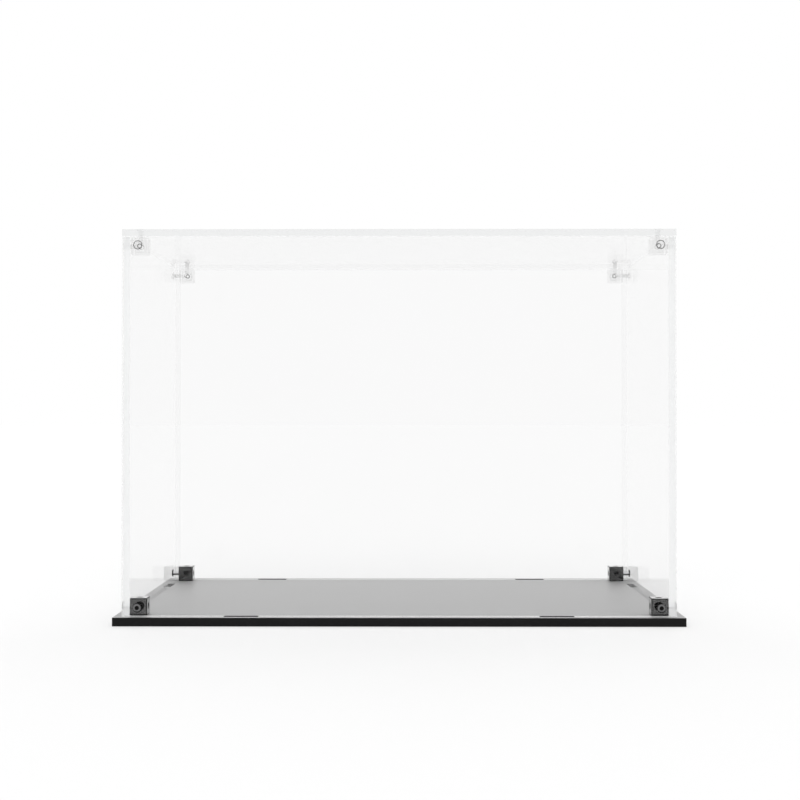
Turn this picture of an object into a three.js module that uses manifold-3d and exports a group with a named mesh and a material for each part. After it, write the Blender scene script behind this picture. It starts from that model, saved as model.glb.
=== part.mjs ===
// Clear display case: a black base plate carries a clear cover that lifts straight off.
// The cover is five flat sheets, held at its eight corners by small tapped cubes and socket screws.
// Tabs under the four walls drop into slots through the base plate.
// Millimetres, +Z up. The origin is the centre of the base plate's underside, and the front faces -Y.

import * as THREE from 'three';
import { mergeVertices } from 'three/addons/utils/BufferGeometryUtils.js';
import Module from 'manifold-3d';

const wasm = await Module();
wasm.setup();

// Base plate
const baseWidth = 330;
const baseDepth = 205;
const baseThickness = 5;
const baseOverhang = 4.5; // bare border of the plate, all round the cover

// Clear cover
const wallHeight = 220; // of the four walls, without their tabs
const wallThickness = 4;
const topThickness = 4;
const jointGap = 0.15; // hairline left in every joint between two pieces

// Tabs under the walls, and their slots in the base plate
const tabLength = 20;
const longTabSpacing = 182.8; // between the middles of the two tabs of the front or back panel
const shortTabSpacing = 116; // the same for a side panel
const tabEndGap = 0.3; // a tab stops this far above the surface that the case stands on
const slotClearance = 0.3; // round a tab, on each side

// Connector cubes
const cubeSize = 10;
const cubeChamfer = 0.6;
const mouthChamfer = 0.8; // countersink at the mouth of each bore
const threadClearance = 0.1; // between a screw's core and the bore, on each side

// Socket screws
const screwDiameter = 3; // of the plain neck, in the panel
const coreDiameter = 2.4; // of the end in the cube, drawn without its thread
const screwTipChamfer = 0.4;
const tipClearance = 0.5; // a screw ends this far short of the screws that cross it
const holeClearance = 0.1; // round a neck in a panel
const headDiameter = 5.3;
const headHeight = 0.95;
const headRim = 0.25; // upright part of the head, under its dome
const crownDiameter = 2.8; // flat on top of the dome, round the socket
const socketAcrossFlats = 2;
const socketDepth = 0.65;

// How finely round shapes are drawn, and how far a cutting shape runs past what it cuts
const roundSides = 16;
const domeSteps = 3;
const cutOverrun = 1;

// Sizes that follow from the ones above
const coverWidth = baseWidth - 2 * baseOverhang;
const coverDepth = baseDepth - 2 * baseOverhang;
const sidePanelLength = coverDepth - 2 * (wallThickness + jointGap);
const wallBottom = baseThickness + jointGap;
const wallTop = wallBottom + wallHeight;
const tabDrop = wallBottom - tabEndGap;
const slotLength = tabLength + 2 * slotClearance;
const slotWidth = wallThickness + 2 * slotClearance;
const cubeInset = wallThickness + jointGap + cubeSize / 2; // from a wall's outer face to a cube's middle
const cubeX = coverWidth / 2 - cubeInset;
const cubeY = coverDepth / 2 - cubeInset;
const lowerCubeZ = wallBottom + cubeSize / 2;
const upperCubeZ = wallTop - cubeSize / 2;
const neckRadius = screwDiameter / 2;
const coreRadius = coreDiameter / 2;
const boreRadius = coreRadius + threadClearance;
const holeRadius = neckRadius + holeClearance;
const headRadius = headDiameter / 2;
const crownRadius = crownDiameter / 2;
const screwReach = cubeSize / 2 - coreRadius - tipClearance; // how deep a screw goes into its cube

const clearAcrylic = new THREE.MeshStandardMaterial({
  color: 0xf2f4f4, roughness: 0.05, metalness: 0, transparent: true, opacity: 0.3,
});
const blackSatinAcrylic = new THREE.MeshStandardMaterial({ color: 0x1c1c1c, roughness: 0.4, metalness: 0 });
const blackGlossAcrylic = new THREE.MeshStandardMaterial({ color: 0x101010, roughness: 0.12, metalness: 0 });
const blackScrew = new THREE.MeshStandardMaterial({ color: 0x141414, roughness: 0.3, metalness: 0.4 });
const clearScrew = new THREE.MeshStandardMaterial({
  color: 0xe6e8e8, roughness: 0.1, metalness: 0, transparent: true, opacity: 0.5,
});

// A closed three.js geometry as a solid that can be joined and cut
function toSolid(geometry) {
  const bare = geometry.clone();
  bare.deleteAttribute('normal');
  bare.deleteAttribute('uv');
  const merged = mergeVertices(bare);
  const corners = merged.index.array;
  const kept = [];
  for (let i = 0; i < corners.length; i += 3) {
    const [a, b, c] = [corners[i], corners[i + 1], corners[i + 2]];
    if (a !== b && b !== c && c !== a) kept.push(a, b, c); // a pole's flat slivers are dropped
  }
  return new wasm.Manifold(new wasm.Mesh({
    numProp: 3,
    vertProperties: new Float32Array(merged.attributes.position.array),
    triVerts: new Uint32Array(kept),
  }));
}

function toGeometry(solid) {
  const mesh = solid.getMesh();
  const geometry = new THREE.BufferGeometry();
  geometry.setAttribute('position', new THREE.BufferAttribute(mesh.vertProperties, 3));
  geometry.setIndex(new THREE.BufferAttribute(mesh.triVerts, 1));
  geometry.computeVertexNormals();
  return geometry;
}

// A box centred on a point of the sheet's plane, and a round bar through that point
function boxAt(x, y, width, height, thickness) {
  return toSolid(new THREE.BoxGeometry(width, height, thickness).translate(x, y, 0));
}

function roundBarAt(x, y, radius, thickness) {
  const bar = new THREE.CylinderGeometry(radius, radius, thickness, roundSides);
  return toSolid(bar.rotateX(Math.PI / 2).translate(x, y, 0));
}

// Base plate, with a slot under each tab
function basePlateGeometry() {
  const frontSlotY = coverDepth / 2 - wallThickness / 2;
  const sideSlotX = coverWidth / 2 - wallThickness / 2;
  const cut = baseThickness + 2 * cutOverrun;
  let plate = boxAt(0, 0, baseWidth, baseDepth, baseThickness);
  for (const end of [-1, 1]) {
    for (const side of [-1, 1]) {
      plate = plate.subtract(boxAt(side * longTabSpacing / 2, end * frontSlotY, slotLength, slotWidth, cut));
      plate = plate.subtract(boxAt(side * sideSlotX, end * shortTabSpacing / 2, slotWidth, slotLength, cut));
    }
  }
  return toGeometry(plate);
}

// A wall, drawn as seen from outside: its bottom edge at zero, two tabs below it, four screw holes
function wallGeometry(length, tabSpacing, holeX) {
  const cut = wallThickness + 2 * cutOverrun;
  const tabHeight = tabDrop + cutOverrun; // it runs up into the wall that it is cut in one with
  let wall = boxAt(0, wallHeight / 2, length, wallHeight, wallThickness);
  for (const side of [-1, 1]) {
    const tabMiddle = side * tabSpacing / 2;
    wall = wall.add(boxAt(tabMiddle, tabHeight / 2 - tabDrop, tabLength, tabHeight, wallThickness));
    for (const cubeZ of [lowerCubeZ, upperCubeZ]) {
      wall = wall.subtract(roundBarAt(side * holeX, cubeZ - wallBottom, holeRadius, cut));
    }
  }
  return toGeometry(wall);
}

function topGeometry() {
  const cut = topThickness + 2 * cutOverrun;
  let top = boxAt(0, 0, coverWidth, coverDepth, topThickness);
  for (const end of [-1, 1]) {
    for (const side of [-1, 1]) top = top.subtract(roundBarAt(side * cubeX, end * cubeY, holeRadius, cut));
  }
  return toGeometry(top);
}

// Turns that lay a shape's Z axis along X, along Y or leave it
const turnToX = new THREE.Matrix4().makeRotationY(Math.PI / 2);
const turnToY = new THREE.Matrix4().makeRotationX(-Math.PI / 2);
const noTurn = new THREE.Matrix4();

// A straight bar of one outline, along Z, with its middle at zero
function barGeometry(outline, length) {
  const geometry = new THREE.ExtrudeGeometry(outline, { depth: length, bevelEnabled: false });
  return geometry.translate(0, 0, -length / 2);
}

// A square bar with broken corners, as long as the cube. Three of them crossing leave the cube.
function cubeBar() {
  const half = cubeSize / 2;
  const flat = half - cubeChamfer;
  const outline = new THREE.Shape();
  outline.moveTo(-flat, -half);
  outline.lineTo(flat, -half);
  outline.lineTo(half, -flat);
  outline.lineTo(half, flat);
  outline.lineTo(flat, half);
  outline.lineTo(-flat, half);
  outline.lineTo(-half, flat);
  outline.lineTo(-half, -flat);
  return barGeometry(outline, cubeSize);
}

// What a tap and a countersink take out, from one face of the cube to the other
function boreCutter() {
  const end = cubeSize / 2 + cutOverrun;
  const straight = cubeSize / 2 - mouthChamfer;
  const mouth = boreRadius + mouthChamfer + cutOverrun;
  const profile = [
    new THREE.Vector2(0, -end),
    new THREE.Vector2(mouth, -end),
    new THREE.Vector2(boreRadius, -straight),
    new THREE.Vector2(boreRadius, straight),
    new THREE.Vector2(mouth, end),
    new THREE.Vector2(0, end),
  ];
  const geometry = new THREE.LatheGeometry(profile, roundSides);
  geometry.rotateX(Math.PI / 2);
  return geometry;
}

// Connector cube: chamfered on all twelve edges, with three tapped bores that cross in its middle
function connectorCubeGeometry() {
  const turns = [turnToX, turnToY, noTurn];
  const bars = turns.map((turn) => toSolid(cubeBar().applyMatrix4(turn)));
  let cube = bars[0].intersect(bars[1]).intersect(bars[2]);
  for (const turn of turns) cube = cube.subtract(toSolid(boreCutter().applyMatrix4(turn)));
  return toGeometry(cube);
}

function hexagonShape(acrossFlats) {
  const corner = acrossFlats / Math.sqrt(3);
  const points = [];
  for (let i = 0; i < 6; i += 1) {
    points.push(new THREE.Vector2(corner * Math.cos(i * Math.PI / 3), corner * Math.sin(i * Math.PI / 3)));
  }
  return new THREE.Shape(points);
}

// Socket screw along Z: its domed head stands above zero, and its neck and core hang below
function socketScrewGeometry(panelThickness) {
  const neckLength = jointGap + panelThickness;
  const shaftLength = neckLength + jointGap + screwReach;
  const profile = [
    new THREE.Vector2(0, -shaftLength),
    new THREE.Vector2(coreRadius - screwTipChamfer, -shaftLength),
    new THREE.Vector2(coreRadius, screwTipChamfer - shaftLength),
    new THREE.Vector2(coreRadius, -neckLength),
    new THREE.Vector2(neckRadius, -neckLength),
    new THREE.Vector2(neckRadius, 0),
    new THREE.Vector2(headRadius, 0),
  ];
  for (let step = 0; step <= domeSteps; step += 1) {
    const angle = (step / domeSteps) * (Math.PI / 2);
    const radius = crownRadius + (headRadius - crownRadius) * Math.cos(angle);
    profile.push(new THREE.Vector2(radius, headRim + (headHeight - headRim) * Math.sin(angle)));
  }
  profile.push(new THREE.Vector2(0, headHeight));
  const body = new THREE.LatheGeometry(profile, roundSides);
  body.rotateX(Math.PI / 2);
  const socket = barGeometry(hexagonShape(socketAcrossFlats), socketDepth + cutOverrun);
  socket.translate(0, 0, headHeight - socketDepth + (socketDepth + cutOverrun) / 2);
  return toGeometry(toSolid(body).subtract(toSolid(socket)));
}

function addPiece(parent, name, geometry, material, x, y, z) {
  const mesh = new THREE.Mesh(geometry, material);
  mesh.name = name;
  mesh.position.set(x, y, z);
  parent.add(mesh);
  return mesh;
}

// A wall stands upright with its outer face towards -Y, in a group that turns it to its side of the case
function addWall(parent, name, geometry, distance, turn) {
  const place = new THREE.Group();
  place.rotation.z = turn;
  const wall = addPiece(place, name, geometry, clearAcrylic, 0, -(distance - wallThickness / 2), wallBottom);
  wall.rotation.x = Math.PI / 2;
  parent.add(place);
}

// A screw enters the cube at (x, y, z) along the line that points out of the case, through one panel
function addScrew(parent, name, geometry, material, cubeCentre, outward, panelThickness) {
  const seat = cubeSize / 2 + panelThickness + 2 * jointGap;
  const head = cubeCentre.clone().addScaledVector(outward, seat);
  const screw = addPiece(parent, name, geometry, material, head.x, head.y, head.z);
  screw.quaternion.setFromUnitVectors(new THREE.Vector3(0, 0, 1), outward);
}

const displayCase = new THREE.Group();
const cover = new THREE.Group();
displayCase.add(cover);

addPiece(displayCase, 'base_plate', basePlateGeometry(), blackSatinAcrylic, 0, 0, baseThickness / 2);

const longWall = wallGeometry(coverWidth, longTabSpacing, cubeX);
const sideWall = wallGeometry(sidePanelLength, shortTabSpacing, cubeY);
addWall(cover, 'front_panel', longWall, coverDepth / 2, 0);
addWall(cover, 'right_panel', sideWall, coverWidth / 2, Math.PI / 2);
addWall(cover, 'back_panel', longWall, coverDepth / 2, Math.PI);
addWall(cover, 'left_panel', sideWall, coverWidth / 2, -Math.PI / 2);
addPiece(cover, 'top_panel', topGeometry(), clearAcrylic, 0, 0, wallTop + jointGap + topThickness / 2);

const connectorCube = connectorCubeGeometry();
const wallScrew = socketScrewGeometry(wallThickness);
const topScrew = socketScrewGeometry(topThickness);
const levels = [
  { level: 'lower', height: lowerCubeZ, cubeMaterial: blackGlossAcrylic, screwMaterial: blackScrew },
  { level: 'upper', height: upperCubeZ, cubeMaterial: clearAcrylic, screwMaterial: clearScrew },
];
const ends = [{ end: 'front', endSign: -1 }, { end: 'back', endSign: 1 }];
const sides = [{ side: 'left', sideSign: -1 }, { side: 'right', sideSign: 1 }];

for (const { level, height, cubeMaterial, screwMaterial } of levels) {
  for (const { end, endSign } of ends) {
    for (const { side, sideSign } of sides) {
      const corner = `${level}_${end}_${side}`;
      const centre = new THREE.Vector3(sideSign * cubeX, endSign * cubeY, height);
      const endward = new THREE.Vector3(0, endSign, 0);
      const sideward = new THREE.Vector3(sideSign, 0, 0);
      addPiece(cover, `${corner}_cube`, connectorCube, cubeMaterial, centre.x, centre.y, centre.z);
      addScrew(cover, `${corner}_face_screw`, wallScrew, screwMaterial, centre, endward, wallThickness);
      addScrew(cover, `${corner}_side_screw`, wallScrew, screwMaterial, centre, sideward, wallThickness);
      if (level === 'upper') {
        const upward = new THREE.Vector3(0, 0, 1);
        addScrew(cover, `${corner}_top_screw`, topScrew, screwMaterial, centre, upward, topThickness);
      }
    }
  }
}

export default displayCase;
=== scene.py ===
from math import pi, radians, sqrt, tau

import bpy
from mathutils import Matrix, Vector


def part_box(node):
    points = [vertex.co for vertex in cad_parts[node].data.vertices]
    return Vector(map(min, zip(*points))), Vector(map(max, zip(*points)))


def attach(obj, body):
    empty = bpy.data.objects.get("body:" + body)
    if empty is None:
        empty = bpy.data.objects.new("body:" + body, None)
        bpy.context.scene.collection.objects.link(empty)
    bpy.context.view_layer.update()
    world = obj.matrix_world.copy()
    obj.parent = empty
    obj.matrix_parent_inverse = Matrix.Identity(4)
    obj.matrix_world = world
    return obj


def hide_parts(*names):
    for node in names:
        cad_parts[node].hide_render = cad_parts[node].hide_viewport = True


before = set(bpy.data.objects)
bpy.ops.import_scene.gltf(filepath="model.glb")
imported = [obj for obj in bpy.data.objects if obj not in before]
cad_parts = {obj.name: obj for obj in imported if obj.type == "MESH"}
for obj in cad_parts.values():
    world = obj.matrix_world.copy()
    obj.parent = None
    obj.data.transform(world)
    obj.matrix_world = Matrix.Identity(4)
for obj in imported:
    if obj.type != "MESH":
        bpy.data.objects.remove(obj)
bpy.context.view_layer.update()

# lengths are in metres, apart from the camera's lens and sensor, which are in millimetres
scene = bpy.context.scene
scene.view_settings.view_transform = "Standard"
# a view through a corner passes more clear faces than the usual eight
scene.cycles.transparent_max_bounces = 32
print("frame loaded:", len(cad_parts), "CAD pieces")

# camera: where the photograph was taken from
cameraSetup = {
    "place": (0.00611, -0.9385, 0.12056),
    "tiltUp": 0.659,  # degrees above level
    "turnLeft": 0.3734,  # degrees from straight ahead
    "lens": 65.41,
    "sensor": 36,
    "nearest": 0.01,
}

bpy.ops.object.select_all(action="DESELECT")
bpy.ops.object.camera_add(
    location=cameraSetup["place"],
    rotation=(radians(90 + cameraSetup["tiltUp"]), 0, radians(cameraSetup["turnLeft"])),
)
camera = bpy.context.object
camera.name = "photoCamera"
camera.data.lens = cameraSetup["lens"]
camera.data.sensor_width = cameraSetup["sensor"]
camera.data.clip_start = cameraSetup["nearest"]
scene.camera = camera


# helpers for nodes and materials
def addNode(tree, kind, place, **settings):
    node = tree.nodes.new(kind)
    node.location = place
    for key, value in settings.items():
        setattr(node, key, value)
    return node


def feed(tree, socket, value):
    # a socket takes a plain value, or what another socket gives
    if isinstance(value, bpy.types.NodeSocket):
        tree.links.new(value, socket)
    else:
        socket.default_value = value


def joinMath(tree, operation, first, second, place):
    node = addNode(tree, "ShaderNodeMath", place, operation=operation)
    feed(tree, node.inputs[0], first)
    feed(tree, node.inputs[1], second)
    return node.outputs[0]


def spread(tree, value, low, high, place, between=(0, 1)):
    # low where the value is at the first limit, high where it is at the second
    node = addNode(tree, "ShaderNodeMapRange", place)
    feed(tree, node.inputs["Value"], value)
    feed(tree, node.inputs["From Min"], between[0])
    feed(tree, node.inputs["From Max"], between[1])
    feed(tree, node.inputs["To Min"], low)
    feed(tree, node.inputs["To Max"], high)
    return node.outputs["Result"]


def seenBy(tree, place):
    # one where the camera, a reflection or a view through glass looks at the surface
    across, up = place
    path = addNode(tree, "ShaderNodeLightPath", place)
    seen = path.outputs["Is Camera Ray"]
    for step, ray in enumerate(("Is Glossy Ray", "Is Transmission Ray"), 1):
        seen = joinMath(tree, "MAXIMUM", seen, path.outputs[ray], (across + 200 * step, up))
    return seen


def startMaterial(name, colour, sockets):
    material = bpy.data.materials.new(name)
    material.use_nodes = True
    shader = material.node_tree.nodes["Principled BSDF"]
    shader.inputs["Base Color"].default_value = (*colour, 1)
    for label, value in sockets.items():
        shader.inputs[label].default_value = value
    return material, material.node_tree, shader


# studio: an even white room, a broad soft lamp behind the case and one in front of it, a white floor
studio = {
    "roomLight": 0.72,  # what the room sheds on things
    "whiteSeen": 1.0,  # how the room itself looks, directly or in glass and gloss
    "lamps": {"backLamp": (1.9, -41), "frontLamp": (1.2, 41)},  # strength, and degrees from straight down
    "lampSpread": 60,  # degrees
    "floorWhite": 0.4,
    "floorLift": 0.422,  # added to the floor as it is seen, so that it looks as white as the room
    "floorSize": 40,
    "floorDrop": 0.00005,  # keeps the floor just below the plate
}
white = (1, 1, 1, 1)

room = bpy.data.worlds.new("whiteRoom")
room.use_nodes = True
scene.world = room
roomTree = room.node_tree
roomColour = roomTree.nodes["Background"]
roomColour.inputs["Color"].default_value = white
roomSeen = seenBy(roomTree, (-800, 0))
roomLevel = spread(roomTree, roomSeen, studio["roomLight"], studio["whiteSeen"], (-200, 0))
roomTree.links.new(roomLevel, roomColour.inputs["Strength"])

for lampName, (strength, tilt) in studio["lamps"].items():
    bpy.ops.object.light_add(type="SUN", location=(0, 0, 1), rotation=(radians(tilt), 0, 0))
    lamp = bpy.context.object
    lamp.name = lampName
    lamp.data.energy = strength
    lamp.data.angle = radians(studio["lampSpread"])
    lamp.visible_glossy = False  # gloss shows the white room only

bpy.ops.object.select_all(action="DESELECT")
bpy.ops.mesh.primitive_plane_add(size=studio["floorSize"], location=(0, 0, -studio["floorDrop"]))
floor = bpy.context.object
floor.name = "studioFloor"
floorPaint, floorTree, floorShader = startMaterial(
    "paleFloor",
    [studio["floorWhite"]] * 3,
    {"Roughness": 1, "Specular IOR Level": 0, "Emission Color": white},
)
floorSeen = seenBy(floorTree, (-800, -200))
floorGlow = joinMath(floorTree, "MULTIPLY", floorSeen, studio["floorLift"], (-200, -200))
floorTree.links.new(floorGlow, floorShader.inputs["Emission Strength"])
floor.data.materials.append(floorPaint)
print("studio ready")

# effects that the finishes share
grainEffect = {
    "detail": 3,
    "noise": (0.3, 0.7),  # nearly all of the noise lies between these
}
handlingEffect = {
    "smearDetail": 5,
    "smearBend": 1.2,
    "smearNoise": (0.48, 0.8),
    "scratchDetail": 2,
    "scratchNoise": (0.71, 0.76),  # only the peaks of the noise, which makes hairlines
    "scratchWays": (  # how the noise is turned, and squeezed into lines
        ((0.4, 0.9, 0.3), (1, 14, 6)),
        ((1.2, 0.2, 1.9), (12, 1, 9)),
    ),
}


def makeGroup(name, inputs, outputs):
    group = bpy.data.node_groups.new(name, "ShaderNodeTree")
    for label, kind, value in inputs:
        socket = group.interface.new_socket(name=label, in_out="INPUT", socket_type=kind)
        socket.default_value = value
    for label, kind in outputs:
        group.interface.new_socket(name=label, in_out="OUTPUT", socket_type=kind)
    start = addNode(group, "NodeGroupInput", (-1000, 0))
    end = addNode(group, "NodeGroupOutput", (800, 0))
    return group, start, end


def makeGrainGroup():
    # fine texture of a worked surface: even grain, or stretched into cutter and turning lines
    group, start, end = makeGroup(
        "surfaceGrain",
        [
            ("Scale", "NodeSocketFloat", 1000),
            ("Stretch", "NodeSocketVector", (1, 1, 1)),
            ("Smooth", "NodeSocketFloat", 0.1),
            ("Rough", "NodeSocketFloat", 0.3),
            ("Bump", "NodeSocketFloat", 0.1),
            ("Depth", "NodeSocketFloat", 0.00001),
        ],
        [("Mask", "NodeSocketFloat"), ("Roughness", "NodeSocketFloat"), ("Normal", "NodeSocketVector")],
    )
    place = addNode(group, "ShaderNodeTexCoord", (-1000, 300))
    stretch = addNode(group, "ShaderNodeVectorMath", (-750, 200), operation="MULTIPLY")
    noise = addNode(group, "ShaderNodeTexNoise", (-500, 200))
    noise.inputs["Detail"].default_value = grainEffect["detail"]
    grain = noise.outputs["Fac"]
    level = spread(
        group, grain, start.outputs["Smooth"], start.outputs["Rough"], (-200, 100), grainEffect["noise"]
    )
    bump = addNode(group, "ShaderNodeBump", (200, -200))
    link = group.links.new
    link(place.outputs["Object"], stretch.inputs[0])
    link(start.outputs["Stretch"], stretch.inputs[1])
    link(stretch.outputs[0], noise.inputs["Vector"])
    link(start.outputs["Scale"], noise.inputs["Scale"])
    link(grain, bump.inputs["Height"])
    link(start.outputs["Bump"], bump.inputs["Strength"])
    link(start.outputs["Depth"], bump.inputs["Distance"])
    link(grain, end.inputs["Mask"])
    link(level, end.inputs["Roughness"])
    link(bump.outputs["Normal"], end.inputs["Normal"])
    return group


def makeHandlingGroup():
    # faint smears from wiping and a few hairline scratches, as on any polished plastic
    group, start, end = makeGroup(
        "handlingMarks",
        [
            ("Smear Scale", "NodeSocketFloat", 18),
            ("Scratch Scale", "NodeSocketFloat", 30),
            ("Smears", "NodeSocketFloat", 0.5),
            ("Scratches", "NodeSocketFloat", 0.5),
        ],
        [("Mask", "NodeSocketFloat")],
    )
    link = group.links.new
    place = addNode(group, "ShaderNodeTexCoord", (-1000, 300))
    smear = addNode(group, "ShaderNodeTexNoise", (-700, 300))
    smear.inputs["Detail"].default_value = handlingEffect["smearDetail"]
    smear.inputs["Distortion"].default_value = handlingEffect["smearBend"]
    link(place.outputs["Object"], smear.inputs["Vector"])
    link(start.outputs["Smear Scale"], smear.inputs["Scale"])
    smears = spread(group, smear.outputs["Fac"], 0, 1, (-450, 300), handlingEffect["smearNoise"])
    total = joinMath(group, "MULTIPLY", smears, start.outputs["Smears"], (-200, 300))
    for turn, squeeze in handlingEffect["scratchWays"]:
        squeezed = addNode(group, "ShaderNodeMapping", (-700, -100))
        squeezed.inputs["Rotation"].default_value = turn
        squeezed.inputs["Scale"].default_value = squeeze
        lines = addNode(group, "ShaderNodeTexNoise", (-450, -100))
        lines.inputs["Detail"].default_value = handlingEffect["scratchDetail"]
        link(place.outputs["Object"], squeezed.inputs["Vector"])
        link(squeezed.outputs["Vector"], lines.inputs["Vector"])
        link(start.outputs["Scratch Scale"], lines.inputs["Scale"])
        scratches = spread(group, lines.outputs["Fac"], 0, 1, (-200, -100), handlingEffect["scratchNoise"])
        scratches = joinMath(group, "MULTIPLY", scratches, start.outputs["Scratches"], (0, -100))
        total = joinMath(group, "MAXIMUM", total, scratches, (250, 100))
    link(total, end.inputs["Mask"])
    return group


surfaceGrain = makeGrainGroup()
handlingMarks = makeHandlingGroup()


def placeGroup(tree, group, place, sockets):
    node = addNode(tree, "ShaderNodeGroup", place, node_tree=group)
    for label, value in sockets.items():
        node.inputs[label].default_value = value
    return node


def facingOf(tree, place):
    # nothing square on, one at a glancing view
    weight = addNode(tree, "ShaderNodeLayerWeight", place)
    weight.inputs["Blend"].default_value = 0.5
    return weight.outputs["Facing"]


# finish of the clear sheets' faces
clearFinish = {
    "headOnTone": 0.3,  # how bright the light is that a face turns back, seen square on
    "glancingTone": 0.99,  # and at a glancing view
    "headOn": 0.018,  # the share of light that it turns back, seen square on
    "glancing": 0.6,  # and what is added to it at a glancing view
    "glancePower": 5,  # how suddenly that comes
    "inside": 0.3,  # the share that stays of it for a view from inside the sheet
    "shadow": 0.4,  # extra share that the level sheet holds back from the shadow it casts
    "paintedLevelShade": 0.87,  # painted shade: the level sheet is made to turn back a little less light than the upright ones
    "marks": {"Smears": 0.35, "Scratches": 0.6},
    "scuff": 0.006,  # the share that a mark adds
    "scuffRoughness": 0.03,
}


def makeClearFace(name):
    # nearly all light goes through, and the face mirrors more at a glancing view
    material, tree, shader = startMaterial(name, (0.8, 0.8, 0.8), {"Metallic": 1})
    facing = facingOf(tree, (-1300, 500))
    glance = joinMath(tree, "POWER", facing, clearFinish["glancePower"], (-1100, -100))
    surface = addNode(tree, "ShaderNodeNewGeometry", (-1300, -500))
    path = addNode(tree, "ShaderNodeLightPath", (-1300, -800))
    upright = addNode(tree, "ShaderNodeSeparateXYZ", (-1100, -500))
    tree.links.new(surface.outputs["Normal"], upright.inputs["Vector"])
    level = joinMath(tree, "ABSOLUTE", upright.outputs["Z"], 0, (-900, -500))
    marks = placeGroup(tree, handlingMarks, (-1300, 200), clearFinish["marks"]).outputs["Mask"]

    mirror = spread(tree, glance, 0, clearFinish["glancing"], (-900, -100))
    inside = spread(tree, surface.outputs["Backfacing"], 1, clearFinish["inside"], (-900, -300))
    mirror = joinMath(tree, "MULTIPLY", mirror, inside, (-700, -100))
    share = joinMath(tree, "ADD", mirror, clearFinish["headOn"], (-500, -100))
    scuff = joinMath(tree, "MULTIPLY", marks, clearFinish["scuff"], (-700, 100))
    share = joinMath(tree, "ADD", share, scuff, (-350, 0))
    shadow = joinMath(tree, "MULTIPLY", path.outputs["Is Shadow Ray"], clearFinish["shadow"], (-900, -700))
    shadow = joinMath(tree, "MULTIPLY", shadow, level, (-700, -600))
    share = joinMath(tree, "ADD", share, shadow, (-200, -100))

    tone = spread(tree, facing, clearFinish["headOnTone"], clearFinish["glancingTone"], (-700, 500))
    # painted shade: the level sheet is coloured darker than the upright ones
    paintedLevelShade = spread(tree, level, 1, clearFinish["paintedLevelShade"], (-700, 700))
    tone = joinMath(tree, "MULTIPLY", tone, paintedLevelShade, (-500, 600))
    dull = joinMath(tree, "MULTIPLY", marks, clearFinish["scuffRoughness"], (-500, 300))
    tree.links.new(tone, shader.inputs["Base Color"])
    tree.links.new(dull, shader.inputs["Roughness"])
    tree.links.new(share, shader.inputs["Alpha"])
    return material


# finishes of the clear sheets' cut rims: the glow is painted light, an emission that stands in for light
# piped to the rim, share how much of the view it hides, and inside how much of that stays for a view from
# inside the sheet
cutFinishes = {
    "clearPanelCutEdge": {"glow": 0.35, "share": (0.645, 0.665), "inside": 0.8},
    "clearSideCutEdge": {"glow": 0.35, "share": (0.72, 0.735), "inside": 0.13},
    "clearTopCutEdge": {"glow": 0.22, "share": (0.6, 0.62), "inside": 0.3},
}
cutTone = (0.6, 0.61, 0.61)
cutLines = {"Scale": 700, "Smooth": 0.12, "Rough": 0.3, "Bump": 0.12}
acrylic = 1.49  # its index of refraction


def makeCutEdge(name, look):
    # pale, with the fine marks that the cutter leaves, and painted light glowing from the rim
    material, tree, shader = startMaterial(
        name, cutTone, {"IOR": acrylic, "Emission Color": white, "Emission Strength": look["glow"]}
    )
    lines = placeGroup(tree, surfaceGrain, (-900, 0), cutLines)
    sides = addNode(tree, "ShaderNodeNewGeometry", (-900, -300))
    share = spread(tree, lines.outputs["Mask"], *look["share"], (-600, -200))
    inside = spread(tree, sides.outputs["Backfacing"], 1, look["inside"], (-600, -400))
    share = joinMath(tree, "MULTIPLY", share, inside, (-300, -300))
    tree.links.new(share, shader.inputs["Alpha"])
    tree.links.new(lines.outputs["Roughness"], shader.inputs["Roughness"])
    tree.links.new(lines.outputs["Normal"], shader.inputs["Normal"])
    return material


# finishes of the small clear mouldings: share hides the view and tone colours what is hidden, and both
# change as the surface turns away from the view, where 0 is square on and 1 is edge on
# the tones are painted light and shade, standing in for what a clear part shows as it bends the view
smallClearFinishes = {
    "clearCubeFace": {"turns": (0, 1), "share": (0.1, 0.16), "tone": (0.5, 0.6)},
    "clearCubeBore": {"turns": (0.2, 1), "share": (0.006, 0.022), "tone": (0.5, 0.4)},
    "clearScrewHead": {"turns": (0, 1), "share": (0.03, 0.2), "tone": (0.6, 0.35)},
    # painted shade under the head: a dark ring where the dome above it turns the view away
    "clearScrewRim": {"turns": (0.05, 0.3), "share": (0.78, 0), "tone": (0.04, 0.04), "fromInside": True},
    "clearScrewShaft": {"turns": (0.05, 0.35), "share": (0.045, 0), "tone": (0.15, 0.15)},
    "clearScrewNeck": {"turns": (0.1, 0.9), "share": (0.15, 0.015), "tone": (0.15, 0.15)},
    # painted shade in the socket: darker than the head
    "clearScrewSocket": {"turns": (0, 0.8), "share": (0.04, 0.14), "tone": (0.2, 0.2)},
}
smallGrain = {"Scale": 2000, "Smooth": 0.04, "Rough": 0.1, "Bump": 0.02}


def makeClearSmall(name, look):
    material, tree, shader = startMaterial(name, (0.9, 0.9, 0.9), {"IOR": acrylic})
    texture = placeGroup(tree, surfaceGrain, (-900, 300), smallGrain)
    turning = facingOf(tree, (-1100, -100))
    share = spread(tree, turning, *look["share"], (-600, -200), look["turns"])
    if "fromInside" in look:
        surface = addNode(tree, "ShaderNodeNewGeometry", (-900, -500))
        share = joinMath(tree, "MULTIPLY", share, surface.outputs["Backfacing"], (-300, -200))
    tone = spread(tree, turning, *look["tone"], (-500, 500), look["turns"])
    tree.links.new(tone, shader.inputs["Base Color"])
    tree.links.new(share, shader.inputs["Alpha"])
    tree.links.new(texture.outputs["Roughness"], shader.inputs["Roughness"])
    tree.links.new(texture.outputs["Normal"], shader.inputs["Normal"])
    return material


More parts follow.
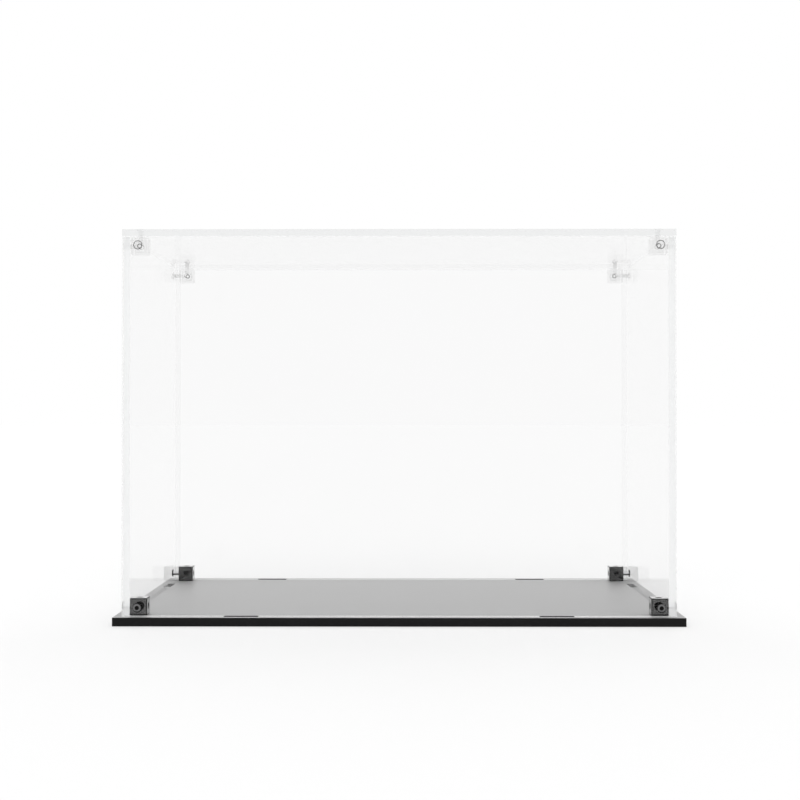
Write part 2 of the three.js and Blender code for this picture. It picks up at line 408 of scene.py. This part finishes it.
# black finishes: grain gives roughness and bump, marks are where it was handled, and dull is how much
# roughness they add
blackFinishes = {
    "blackSatinSheet": {
        "colour": (0.016, 0.016, 0.0165),
        "grain": {"Scale": 2600, "Smooth": 0.4, "Rough": 0.5, "Bump": 0.03},
        "marks": {"Smears": 0.5, "Scratches": 0.5},
        "dull": 0.04,
        "shader": {"IOR": 1.6, "Coat Weight": 0.68, "Coat Roughness": 0.37, "Sheen Weight": 0.81,
                   "Sheen Roughness": 0.3},
    },
    "blackSheetCutEdge": {
        "colour": (0.007, 0.007, 0.007),
        "grain": {"Scale": 2200, "Stretch": (1, 1, 0.12), "Smooth": 0.3, "Rough": 0.45, "Bump": 0.15},
        "shader": {"Specular IOR Level": 0.12},
    },
    # painted light: lighter than the other cut surfaces, for the light that the clear tabs let into the
    # slots
    "blackSlotWallPaintedLight": {
        "colour": (0.05, 0.05, 0.05),
        "grain": {"Scale": 2200, "Stretch": (1, 1, 0.12), "Smooth": 0.1, "Rough": 0.2, "Bump": 0.1},
        "shader": {"IOR": 1.6, "Sheen Weight": 0.8, "Sheen Roughness": 0.3},
    },
    "blackGlossCube": {
        "colour": (0.01, 0.01, 0.01),
        "grain": {"Scale": 1500, "Smooth": 0.03, "Rough": 0.06, "Bump": 0.02},
        "marks": {"Smear Scale": 120, "Scratch Scale": 300, "Smears": 0.6, "Scratches": 0.5},
        "dull": 0.04,
        "shader": {"IOR": 1.58, "Coat Weight": 1, "Coat Roughness": 0.02},
    },
    # painted shade: darker and duller than the faces, for the dark outline that the rounding shows
    "blackCubeEdge": {
        "colour": (0.006, 0.006, 0.006),
        "grain": {"Scale": 1500, "Smooth": 0.25, "Rough": 0.4, "Bump": 0.04},
        "shader": {"Specular IOR Level": 0.2},
    },
    "blackScrewFinish": {
        "colour": (0.15, 0.15, 0.152),
        "grain": {"Scale": 3000, "Smooth": 0.06, "Rough": 0.12, "Bump": 0.06},
        "shader": {"Metallic": 1},
    },
    "blackScrewNeck": {  # bright where it mirrors the room, and dark where it mirrors the plate
        "colour": (0.82, 0.82, 0.83),
        "grain": {"Scale": 3000, "Smooth": 0.06, "Rough": 0.12, "Bump": 0.04},
        "shader": {"Metallic": 1},
    },
    # painted shade: a dark dull finish in the socket and on the head's outer edge
    "blackScrewSocket": {
        "colour": (0.006, 0.006, 0.006),
        "grain": {"Scale": 3000, "Smooth": 0.4, "Rough": 0.6, "Bump": 0.06},
        "shader": {"Specular IOR Level": 0.1},
    },
}


def makeGrained(name, look):
    material, tree, shader = startMaterial(name, look["colour"], look["shader"])
    texture = placeGroup(tree, surfaceGrain, (-700, 0), look["grain"])
    roughness = texture.outputs["Roughness"]
    if "marks" in look:
        worn = placeGroup(tree, handlingMarks, (-700, 300), look["marks"])
        dull = joinMath(tree, "MULTIPLY", worn.outputs["Mask"], look["dull"], (-400, 300))
        roughness = joinMath(tree, "ADD", roughness, dull, (-200, 200))
    tree.links.new(roughness, shader.inputs["Roughness"])
    tree.links.new(texture.outputs["Normal"], shader.inputs["Normal"])
    return material


# every finish by its name
finish = {"clearSheetFace": makeClearFace("clearSheetFace")}
makers = ((makeCutEdge, cutFinishes), (makeClearSmall, smallClearFinishes), (makeGrained, blackFinishes))
for makeFinish, looks in makers:
    for name, look in looks.items():
        finish[name] = makeFinish(name, look)
print("finishes ready:", len(finish))


# modelling helpers
meshCare = {
    "bevelFrom": 40,  # degrees between two faces, from which breakEdges rounds the edge
    "sharpFrom": 35,  # and from which smoothShade keeps it sharp
    "flatWithin": 0.5,  # degrees within which tidyMesh makes neighbouring faces one
    "mergeWithin": 0.000001,
    "squareOn": 0.999,  # a face whose normal reaches this far along an axis is square to it
    "downward": -0.9,  # and one whose normal points lower than this looks down
}


def deselectAll():
    if bpy.context.mode != "OBJECT":
        bpy.ops.object.mode_set(mode="OBJECT")
    bpy.ops.object.select_all(action="DESELECT")


def selectOnly(piece):
    deselectAll()
    bpy.context.view_layer.objects.active = piece
    piece.select_set(True)


def settlePrimitive(name):
    piece = bpy.context.object
    piece.name = name
    bpy.ops.object.transform_apply(location=True, rotation=True, scale=True)
    return piece


def addBlock(name, low, high):
    deselectAll()
    low, high = Vector(low), Vector(high)
    bpy.ops.mesh.primitive_cube_add(size=1, location=(low + high) / 2, scale=high - low)
    return settlePrimitive(name)


turnedTo = {0: (0, pi / 2, 0), 1: (-pi / 2, 0, 0), 2: (0, 0, 0)}  # lays a Z axis along X, Y or Z


def addRod(name, radius, length, centre, axis, sides):
    deselectAll()
    bpy.ops.mesh.primitive_cylinder_add(
        vertices=sides, radius=radius, depth=length, location=centre, rotation=turnedTo[axis]
    )
    return settlePrimitive(name)


def addCone(name, lowRadius, highRadius, length, centre, sides):
    deselectAll()
    bpy.ops.mesh.primitive_cone_add(
        vertices=sides, radius1=lowRadius, radius2=highRadius, depth=length, location=centre
    )
    return settlePrimitive(name)


def useModifier(piece, kind, **settings):
    selectOnly(piece)
    modifier = piece.modifiers.new(kind.lower(), kind)
    for key, value in settings.items():
        setattr(modifier, key, value)
    bpy.ops.object.modifier_apply(modifier=modifier.name)


def combine(piece, tool, operation="DIFFERENCE"):
    useModifier(piece, "BOOLEAN", object=tool, operation=operation, solver="MANIFOLD")
    bpy.data.objects.remove(tool)


def breakEdges(piece, width, steps=2):
    sharpest = radians(meshCare["bevelFrom"])
    useModifier(piece, "BEVEL", width=width, segments=steps, limit_method="ANGLE", angle_limit=sharpest)


def pick(piece, kind, wanted):
    # leaves the piece in edit mode with only the wanted faces or edges selected
    selectOnly(piece)
    bpy.ops.object.mode_set(mode="EDIT")
    bpy.ops.mesh.select_mode(type=kind)
    bpy.ops.mesh.select_all(action="DESELECT")
    bpy.ops.object.mode_set(mode="OBJECT")
    for part in piece.data.polygons if kind == "FACE" else piece.data.edges:
        part.select = wanted(part)
    bpy.ops.object.mode_set(mode="EDIT")


def pickUnderside(piece, within=lambda centre: True):
    pick(piece, "FACE", lambda face: face.normal.z < meshCare["downward"] and within(face.center))


def bevelPicked(piece, wanted, width, steps):
    # bevels the edges whose two ends are both wanted
    pick(piece, "EDGE", lambda edge: all(wanted(piece.data.vertices[i].co) for i in edge.vertices))
    bpy.ops.mesh.bevel(offset=width, segments=steps, affect="EDGES")
    bpy.ops.object.mode_set(mode="OBJECT")


def smoothShade(piece):
    selectOnly(piece)
    bpy.ops.object.shade_smooth_by_angle(angle=radians(meshCare["sharpFrom"]))
    useModifier(piece, "WEIGHTED_NORMAL", keep_sharp=True, weight=100)


def tidyMesh(piece):
    # drops the coplanar cuts and the doubles, and turns every face outwards
    selectOnly(piece)
    bpy.ops.object.mode_set(mode="EDIT")
    bpy.ops.mesh.select_all(action="SELECT")
    bpy.ops.mesh.remove_doubles(threshold=meshCare["mergeWithin"])
    bpy.ops.mesh.dissolve_limited(angle_limit=radians(meshCare["flatWithin"]))
    bpy.ops.mesh.normals_make_consistent(inside=False)
    bpy.ops.object.mode_set(mode="OBJECT")


def paintSheet(piece, axis, faceFinish, cutFinish, innerFinish, isInner):
    # the faces square to the axis get the first finish, the cut surfaces the second, or the third inside
    piece.data.materials.clear()
    for name in (faceFinish, cutFinish, innerFinish):
        piece.data.materials.append(finish[name])
    for face in piece.data.polygons:
        if abs(face.normal[axis]) > meshCare["squareOn"]:
            face.material_index = 0
        else:
            face.material_index = 2 if isInner(face.center) else 1


def pieceName(node):
    first, *others = node.split("_")
    return first + "".join(word.title() for word in others) + "Piece"


def handOver(piece, node, body):
    piece.name = pieceName(node)
    piece.data.name = piece.name
    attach(piece, body)
    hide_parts(node)


def middleOf(node):
    low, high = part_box(node)
    return (low + high) / 2


# tabs under the walls, and the axis that each wall runs along
tabSize = {
    "length": 0.020,
    "longSpacing": 0.1828,
    "shortSpacing": 0.116,
    "shoulder": 0.00505,  # the walls' lower edge between the tabs
}
walls = {
    "front_panel": {"along": 0, "spacing": tabSize["longSpacing"], "cut": "clearPanelCutEdge"},
    "back_panel": {"along": 0, "spacing": tabSize["longSpacing"], "cut": "clearPanelCutEdge"},
    "left_panel": {"along": 1, "spacing": tabSize["shortSpacing"], "cut": "clearSideCutEdge"},
    "right_panel": {"along": 1, "spacing": tabSize["shortSpacing"], "cut": "clearSideCutEdge"},
}

# base plate: one black sheet with a slot for each tab
slotSize = {
    "length": 0.0206,
    "width": 0.0046,
    "overrun": 0.002,  # how far a cutter stands out of the sheet
    "edgeBreak": 0.0001,
    "edgeSteps": 3,
    "rim": 0.003,  # cut surfaces further in than this are slot walls
}


def makeBasePlate():
    low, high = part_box("base_plate")
    plate = addBlock("basePlate", low, high)
    half = Vector((slotSize["length"] / 2, slotSize["width"] / 2, 0))
    overrun = Vector((0, 0, slotSize["overrun"]))
    for node, wall in walls.items():
        middle = middleOf(node)
        reach = half if wall["along"] == 0 else half.yxz
        for side in (-1, 1):
            centre = Vector((middle.x, middle.y, 0))
            centre[wall["along"]] = side * wall["spacing"] / 2
            lowest = centre - reach - overrun + Vector((0, 0, low.z))
            highest = centre + reach + overrun + Vector((0, 0, high.z))
            combine(plate, addBlock("slotCutter", lowest, highest))
    breakEdges(plate, slotSize["edgeBreak"], slotSize["edgeSteps"])
    paintSheet(
        plate, 2, "blackSatinSheet", "blackSheetCutEdge", "blackSlotWallPaintedLight",
        lambda centre: min(high.x - abs(centre.x), high.y - abs(centre.y)) > slotSize["rim"],
    )
    smoothShade(plate)
    handOver(plate, "base_plate", "base")


makeBasePlate()
print("base plate done")

# clear cover: four walls with tabs, and the top
sheet = {
    "holeRadius": 0.0016,
    "holeRing": 0.0018,  # cut surfaces nearer to a hole's middle than this are its wall
    "holeSides": 48,
    "overrun": 0.003,
    "edgeBreak": 0.00012,
}
corners = [f"{end}_{side}" for end in ("front", "back") for side in ("left", "right")]


def finishSheet(piece, node, axis, centres, cutFinish):
    middle = sum((Vector(corner) for corner in piece.bound_box), Vector()) / 8
    depth = piece.dimensions[axis] + sheet["overrun"]
    for centre in centres:
        centre[axis] = middle[axis]
        combine(piece, addRod("drill", sheet["holeRadius"], depth, centre, axis, sheet["holeSides"]))

    def inHole(spot):
        flat = spot.copy()
        flat[axis] = middle[axis]
        return min((flat - centre).length for centre in centres) < sheet["holeRing"]

    breakEdges(piece, sheet["edgeBreak"])
    paintSheet(piece, axis, "clearSheetFace", cutFinish, "clearCubeBore", inHole)
    smoothShade(piece)
    handOver(piece, node, "cover")


def makeWall(node, along, spacing, cut):
    low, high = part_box(node)
    wall = addBlock(node, (low.x, low.y, tabSize["shoulder"]), high)
    bpy.ops.object.mode_set(mode="EDIT")
    direction = Vector((0, 0, 0))
    direction[along] = 1
    for side in (-1, 1):
        for end in (-1, 1):
            place = direction * (side * spacing + end * tabSize["length"]) / 2
            bpy.ops.mesh.select_all(action="SELECT")
            bpy.ops.mesh.bisect(plane_co=place, plane_no=direction)
    pickUnderside(wall, lambda centre: abs(abs(centre[along]) - spacing / 2) < tabSize["length"] / 4)
    bpy.ops.mesh.extrude_region_move(TRANSFORM_OT_translate={"value": (0, 0, low.z - tabSize["shoulder"])})
    tidyMesh(wall)
    name = node.split("_")[0]
    ownCorners = [corner for corner in corners if name in corner]
    centres = [middleOf(f"{level}_{corner}_cube") for level in ("lower", "upper") for corner in ownCorners]
    finishSheet(wall, node, 1 - along, centres, cut)


for node, wall in walls.items():
    makeWall(node, **wall)
topCentres = [middleOf(f"upper_{corner}_cube") for corner in corners]
finishSheet(addBlock("top_panel", *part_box("top_panel")), "top_panel", 2, topCentres, "clearTopCutEdge")
print("five clear sheets done")

# threads, for the cube's bores and the screws
thread = {"pitch": 0.0005, "sides": 16, "steps": 8}
upward = Vector((0, 0, 1))


def addThread(name, radius, wave, turns, start):
    # a round outline set off centre by the wave, screwed along Z, is a rounded thread
    deselectAll()
    bpy.ops.mesh.primitive_circle_add(vertices=thread["sides"], radius=radius, location=(wave, 0, start))
    rod = settlePrimitive(name)
    useModifier(
        rod, "SCREW", axis="Z", angle=tau, screw_offset=thread["pitch"], iterations=turns,
        steps=thread["steps"], render_steps=thread["steps"], use_merge_vertices=False,
    )
    bpy.ops.object.mode_set(mode="EDIT")
    bpy.ops.mesh.select_all(action="SELECT")
    bpy.ops.mesh.fill_holes(sides=0)
    bpy.ops.mesh.normals_make_consistent(inside=False)
    bpy.ops.object.mode_set(mode="OBJECT")
    return rod


def turnTo(aim):
    # turns a shape made along Z, so that it points along the aim
    return upward.rotation_difference(aim).to_matrix().to_4x4()


# connector cube: rounded edges, and three tapped and countersunk bores that cross in its middle
cube = {
    "rounding": 0.0005,
    "roundSteps": 3,
    "boreRadius": 0.0013,
    "wave": 0.0001,  # half the thread's depth
    "mouth": 0.0008,  # depth of the countersink
    "mouthSides": 40,
    "overrun": 0.0005,
    "threadTurns": 7,
}


def makeCube(size):
    half = size / 2
    block = addBlock("connectorCube", (-half, -half, -half), (half, half, half))
    breakEdges(block, cube["rounding"], cube["roundSteps"])
    radius, wave, turns, sides = cube["boreRadius"], cube["wave"], cube["threadTurns"], cube["mouthSides"]
    threadStart = half - turns * thread["pitch"]
    crossing = 2 * threadStart + wave
    for axis in (0, 1, 2):
        combine(block, addRod("crossing", radius + 2 * wave, crossing, (0, 0, 0), axis, sides))
    depth = cube["mouth"] + cube["overrun"]
    mouthMiddle = (0, 0, half - cube["mouth"] + depth / 2)
    for axis in (0, 1, 2):
        for end in (-1, 1):
            aim = Vector((0, 0, 0))
            aim[axis] = end
            mouth = addCone("mouth", radius, radius + depth, depth, mouthMiddle, sides)
            mouth.data.transform(turnTo(aim))
            combine(block, mouth)
            bore = addThread("bore", radius + wave, wave, turns, threadStart)
            bore.data.transform(turnTo(aim))
            combine(block, bore)
    smoothShade(block)
    return block


# socket screw: domed head with a hexagon socket, a plain neck and a threaded end
screw = {
    "headRadius": 0.00265,
    "headHeight": 0.00095,
    "headSides": 48,
    "rim": 0.00025,  # height of the head's upright rim
    "crownRadius": 0.0014,  # the flat middle of the dome
    "domeSteps": 8,
    "rimShade": 0.0005,  # width of the ring under the head that is painted dark as the dome's shade
    "paintedShadeEdge": 0.0004,  # width of the edge on top of the head that the black screws darken with painted shade
    "flats": 0.002,  # the socket, across its flats
    "socketDepth": 0.00065,
    "mouthRadius": 0.00125,
    "mouthDepth": 0.0001,
    "neckRadius": 0.0015,
    "neckLength": 0.00415,
    "neckChamfer": 0.00015,
    "chamferSteps": 2,
    "coreRadius": 0.0012,
    "wave": 0.00008,
    "length": 0.0076,
    "tip": 0.0004,
    "sink": 0.00015,  # how far the parts reach into each other before they are joined
    "settle": 0.61,  # how much further each screw is turned than the last
}


def makeHead():
    # a rod rounded over at its top edge and then pressed flat, so that the rounding becomes a low dome
    height, sides, rise = screw["headHeight"], screw["headSides"], screw["mouthDepth"]
    width = screw["headRadius"] - screw["crownRadius"]
    press = (height - screw["rim"]) / width
    tall = screw["rim"] / press + width
    head = addRod("socketScrew", screw["headRadius"], tall, (0, 0, tall / 2), 2, sides)
    bevelPicked(head, lambda point: point.z > tall / 2, width, screw["domeSteps"])
    head.scale.z = press
    bpy.ops.object.transform_apply(location=False, rotation=False, scale=True)
    pickUnderside(head)
    bpy.ops.mesh.inset(thickness=screw["rimShade"])
    bpy.ops.object.mode_set(mode="OBJECT")
    socketMiddle = (0, 0, 1.5 * height - screw["socketDepth"])
    combine(head, addRod("socket", screw["flats"] / sqrt(3), height, socketMiddle, 2, 6))
    low, high = screw["mouthRadius"] - 2 * rise, screw["mouthRadius"] + rise
    combine(head, addCone("socketMouth", low, high, 3 * rise, (0, 0, height - rise / 2), sides))
    return head


def makeScrew():
    sink, wave, sides = screw["sink"], screw["wave"], screw["headSides"]
    head = makeHead()
    neckLength = screw["neckLength"] + sink
    neck = addRod("neck", screw["neckRadius"], neckLength, (0, 0, sink - neckLength / 2), 2, sides)
    bevelPicked(neck, lambda point: point.z < 0, screw["neckChamfer"], screw["chamferSteps"])
    endLength = screw["length"] - screw["neckLength"]
    turns = round(endLength / thread["pitch"]) + 2
    start = -screw["length"] - thread["pitch"] / 2
    core = addThread("core", screw["coreRadius"] - wave, wave, turns, start)
    blankLength = endLength + sink
    blankMiddle = (0, 0, -screw["length"] + blankLength / 2)
    blank = addRod("blank", screw["coreRadius"] + wave, blankLength, blankMiddle, 2, sides)
    bevelPicked(blank, lambda point: point.z < blankMiddle[2], screw["tip"], 1)
    combine(core, blank, "INTERSECT")
    combine(neck, core, "UNION")
    combine(head, neck, "UNION")
    smoothShade(head)
    return head


# cubes and screws: the finish of each part, in the lower corners and in the upper ones
cubeFinishes = {
    "lower": {"flat": "blackGlossCube", "bore": "blackGlossCube", "rounding": "blackCubeEdge"},
    "upper": {"flat": "clearCubeFace", "bore": "clearCubeBore", "rounding": "clearCubeBore"},
}
screwFinishes = {
    "lower": {
        "head": "blackScrewFinish",
        "thread": "blackScrewFinish",
        "socket": "blackScrewSocket",
        "rim": "blackScrewFinish",
        "neck": "blackScrewNeck",
        "edge": "blackScrewSocket",
    },
    "upper": {
        "head": "clearScrewHead",
        "thread": "clearScrewShaft",
        "socket": "clearScrewSocket",
        "rim": "clearScrewRim",
        "neck": "clearScrewNeck",
        "edge": "clearScrewHead",
    },
}
slotNames = {"lower": ("black_cube", "black_screw"), "upper": ("clear_cube", "clear_screw")}
screwLimits = {
    "seat": 0.00001,  # a face nearer to the plane under the head than this lies in it
    "endFace": 0.6,  # below that plane, a face whose normal is this upright is an end and not a side
    "neckFrom": 1.1,  # the neck's sides begin at this many times the core's radius
    "crownFrom": 0.99,  # the crown begins at this share of the head's height, and the socket is below
}


def cubePart(face):
    if max(abs(part) for part in face.normal) > meshCare["squareOn"]:
        return "flat"
    nearEdge = cubeHalf - cube["rounding"]
    return "rounding" if sorted(abs(part) for part in face.center)[1] > nearEdge else "bore"


def screwPart(face):
    height, reach = face.center.z, face.center.xy.length
    if abs(height) < screwLimits["seat"] and reach > screw["headRadius"] - screw["rimShade"]:
        return "rim"
    if height < screwLimits["seat"]:
        if abs(face.normal.z) > screwLimits["endFace"]:
            return "head"
        return "neck" if reach > screw["coreRadius"] * screwLimits["neckFrom"] else "thread"
    if reach < screw["mouthRadius"] and height < screw["headHeight"] * screwLimits["crownFrom"]:
        return "socket"
    return "edge" if reach > screw["headRadius"] - screw["paintedShadeEdge"] else "head"


def sortFaces(piece, parts, partOf):
    # gives each face its part's place among the finishes, which copyTo fills in
    piece.data.materials.clear()
    for place in parts:
        piece.data.materials.append(None)
    for face in piece.data.polygons:
        face.material_index = parts.index(partOf(face))


def copyTo(source, placing, finishNames, node):
    piece = source.copy()
    piece.data = source.data.copy()
    scene.collection.objects.link(piece)
    piece.data.transform(placing)
    for place, name in enumerate(finishNames.values()):
        piece.data.materials[place] = finish[name]
    handOver(piece, node, "cover")


cubeLow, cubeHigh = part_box("lower_front_left_cube")
cubeHalf = (cubeHigh.x - cubeLow.x) / 2
cubeMaster = makeCube(2 * cubeHalf)
sortFaces(cubeMaster, list(cubeFinishes["lower"]), cubePart)
print("connector cube modelled:", len(cubeMaster.data.polygons), "faces")
screwMaster = makeScrew()
sortFaces(screwMaster, list(screwFinishes["lower"]), screwPart)
print("socket screw modelled:", len(screwMaster.data.polygons), "faces")

outward = {"front": (0, -1, 0), "back": (0, 1, 0), "left": (-1, 0, 0), "right": (1, 0, 0), "top": (0, 0, 1)}
count = 0
for level, (cubeSlot, screwSlot) in slotNames.items():
    for corner in corners:
        end, side = corner.split("_")
        node = f"{level}_{corner}_cube"
        centre = middleOf(node)
        copyTo(cubeMaster, Matrix.Translation(centre), cubeFinishes[level], node)
        sides = {"face": end, "side": side}
        if level == "upper":
            sides["top"] = "top"
        for kind, facing in sides.items():
            node = f"{level}_{corner}_{kind}_screw"
            aim = Vector(outward[facing])
            low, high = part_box(node)
            outermost = high if sum(aim) > 0 else low
            axis = max(range(3), key=lambda i: abs(aim[i]))
            seat = centre.copy()
            seat[axis] = outermost[axis] - aim[axis] * screw["headHeight"]
            settle = Matrix.Rotation(count * screw["settle"], 4, "Z")
            placing = Matrix.Translation(seat) @ turnTo(aim) @ settle
            copyTo(screwMaster, placing, screwFinishes[level], node)
            count += 1
bpy.data.objects.remove(cubeMaster)
bpy.data.objects.remove(screwMaster)
print("eight cubes and", count, "screws placed")
